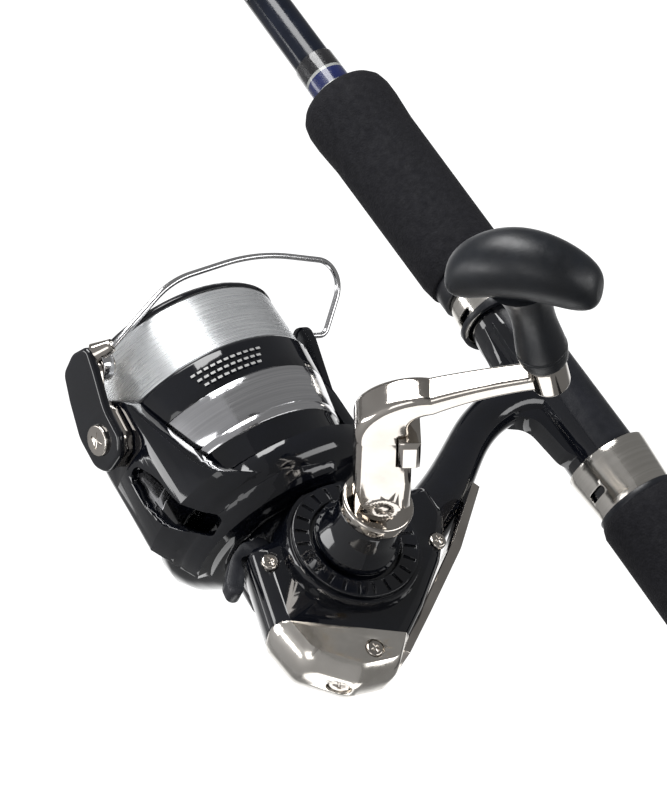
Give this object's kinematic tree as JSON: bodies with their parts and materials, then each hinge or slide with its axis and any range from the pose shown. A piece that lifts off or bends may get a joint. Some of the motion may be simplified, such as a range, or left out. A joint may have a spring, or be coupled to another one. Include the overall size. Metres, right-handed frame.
{
  "type": "spinning rod and reel",
  "caption": "Closed telescopic fishing rod with foam grips and a screw-down seat holding a fixed-spool spinning reel with folding crank and wire bail.",
  "frame": {"origin": "centre of the butt end of the rod, on the rod's axis", "axes": "+X along the rod to the tip, +Z from the reel up to the rod, +Y to the side the crank handle is on"},
  "size_m": [0.597, 0.139, 0.1285],
  "materials": {
    "foam": "black closed-cell foam, matt",
    "rubber_cap": "black rubber, matt",
    "blank": "dark blue-black lacquered glass fibre",
    "seat": "satin moulded seat",
    "steel": "satin steel",
    "trim": "silver and blue thread wraps under lacquer",
    "gloss_black": "piano-black paint",
    "chrome": "bright nickel plating",
    "skirt": "turned and polished",
    "line": "clear nylon line, wound",
    "soft_black": "satin moulded plastic",
    "gear": "zinc casting",
    "brass": "machined brass",
    "gold": "gold-plated spindle",
    "guides": "polished guide frames"
  },
  "bodies": {
    "rod_and_case": {"butt_cap": "rubber_cap", "blank_butt": "blank", "rear_grip": "foam", "seat_ring": "seat", "seat_body": "seat", "fixed_hood": "steel", "trim_wrap": "trim", "hook_keeper": "steel", "guide_one": "guides", "reel_body": "gloss_black", "side_cover": "gloss_black", "rear_cap": "chrome", "boss_ring": "chrome", "back_strip": "chrome", "case_screws": "chrome", "crank_bearing": "steel", "pinion_bearing": "steel", "pinion_bush": "brass", "one_way_clutch": "steel"},
    "hood": {"moving_hood": "steel", "hood_lip": "seat"},
    "foregrip_nut": {"foregrip": "foam", "grip_collar": "seat"},
    "section_two": {"section_two": "blank", "guide_two": "guides"},
    "section_three": {"section_three": "blank", "guide_three": "guides"},
    "section_four": {"section_four": "blank", "tip_top": "guides"},
    "crank": {"drive_gear": "gear", "crank_collar": "gloss_black", "hub_ring": "chrome", "hinge_ear": "steel"},
    "handle": {"handle_arm": "chrome", "hinge_pin": "steel", "knob_spindle": "gold"},
    "fold_button": {"fold_button": "chrome"},
    "knob": {"handle_knob": "soft_black"},
    "rotor": {"rotor": "gloss_black", "pinion": "brass", "rotor_nut": "brass", "bail_spring": "steel"},
    "worm": {"worm_shaft": "steel"},
    "carriage": {"main_shaft": "steel", "crosshead": "brass"},
    "spool": {"spool": "gloss_black", "spool_skirt": "skirt", "spool_ring": "gloss_black", "wound_line": "line", "line_clip": "soft_black", "drag_washers": "steel"},
    "drag_knob": {"drag_knob": "soft_black"},
    "bail": {"arm_cover": "gloss_black", "bail_arm": "chrome", "bail_holder": "gloss_black", "bail_screws": "chrome", "bail_wire": "chrome"},
    "roller": {"line_roller": "chrome"},
    "anti_reverse": {"anti_reverse_lever": "gloss_black"}
  },
  "joints": [
    {"name": "crank_turn", "type": "hinge", "parent": "rod_and_case", "child": "crank", "pos_m": [0.1608, 0, -0.0841], "axis": [0, 1, 0], "continuous": true},
    {"name": "rotor_spin", "type": "hinge", "parent": "rod_and_case", "child": "rotor", "pos_m": [0.165, 0, -0.0841], "axis": [1, 0, 0], "continuous": true},
    {"name": "worm_turn", "type": "hinge", "parent": "rod_and_case", "child": "worm", "pos_m": [0.165, -0.0048, -0.08895], "axis": [1, 0, 0], "continuous": true},
    {"name": "carriage_slide", "type": "slide", "parent": "rod_and_case", "child": "carriage", "axis": [1, 0, 0], "range_m": [-0.0045, 0.0005]},
    {"name": "spool_turn", "type": "hinge", "parent": "carriage", "child": "spool", "pos_m": [0.165, 0, -0.0841], "axis": [1, 0, 0], "continuous": true},
    {"name": "drag_knob_turn", "type": "hinge", "parent": "carriage", "child": "drag_knob", "pos_m": [0.165, 0, -0.0841], "axis": [1, 0, 0], "range_deg": [-720, 720]},
    {"name": "bail_swing", "type": "hinge", "parent": "rotor", "child": "bail", "pos_m": [0.2077, 0, -0.0841], "axis": [0, 0.2079, -0.9781], "range_deg": [0, 105]},
    {"name": "roller_spin", "type": "hinge", "parent": "bail", "child": "roller", "pos_m": [0.2205, 0.01376, -0.10939], "axis": [0, -0.2079, 0.9781], "continuous": true},
    {"name": "handle_fold", "type": "hinge", "parent": "crank", "child": "handle", "pos_m": [0.16128, 0.03856, -0.08488], "axis": [-0.8499, 0, -0.527], "range_deg": [-17.8, 60]},
    {"name": "button_press", "type": "slide", "parent": "handle", "child": "fold_button", "axis": [0.8499, 0, 0.527], "range_m": [0, 0.0015], "stiffness_N_per_m": 800},
    {"name": "knob_turn", "type": "hinge", "parent": "handle", "child": "knob", "pos_m": [0.15213, 0.08012, -0.07012], "axis": [0.2816, 0.8453, -0.4541], "continuous": true},
    {"name": "anti_reverse_switch", "type": "hinge", "parent": "rod_and_case", "child": "anti_reverse", "pos_m": [0.171, 0, -0.0979], "axis": [0, 1, 0], "range_deg": [0, 8]},
    {"name": "hood_slide", "type": "slide", "parent": "rod_and_case", "child": "hood", "axis": [1, 0, 0], "range_m": [0, 0.006]},
    {"name": "foregrip_turn", "type": "hinge", "parent": "hood", "child": "foregrip_nut", "pos_m": [0.25, 0, 0], "axis": [1, 0, 0], "range_deg": [0, 1440]},
    {"name": "section_two_slide", "type": "slide", "parent": "rod_and_case", "child": "section_two", "axis": [1, 0, 0], "range_m": [0, 0.46]},
    {"name": "section_three_slide", "type": "slide", "parent": "section_two", "child": "section_three", "axis": [1, 0, 0], "range_m": [0, 0.46]},
    {"name": "section_four_slide", "type": "slide", "parent": "section_three", "child": "section_four", "axis": [1, 0, 0], "range_m": [0, 0.46]}
  ],
  "couplings": [
    {"joint": "rotor_spin", "follows": "crank_turn", "ratio": -4.7},
    {"joint": "worm_turn", "follows": "crank_turn", "ratio": 2.9375},
    {"joint": "foregrip_turn", "follows": "hood_slide", "rad_per_m": 4188.8}
  ]
}
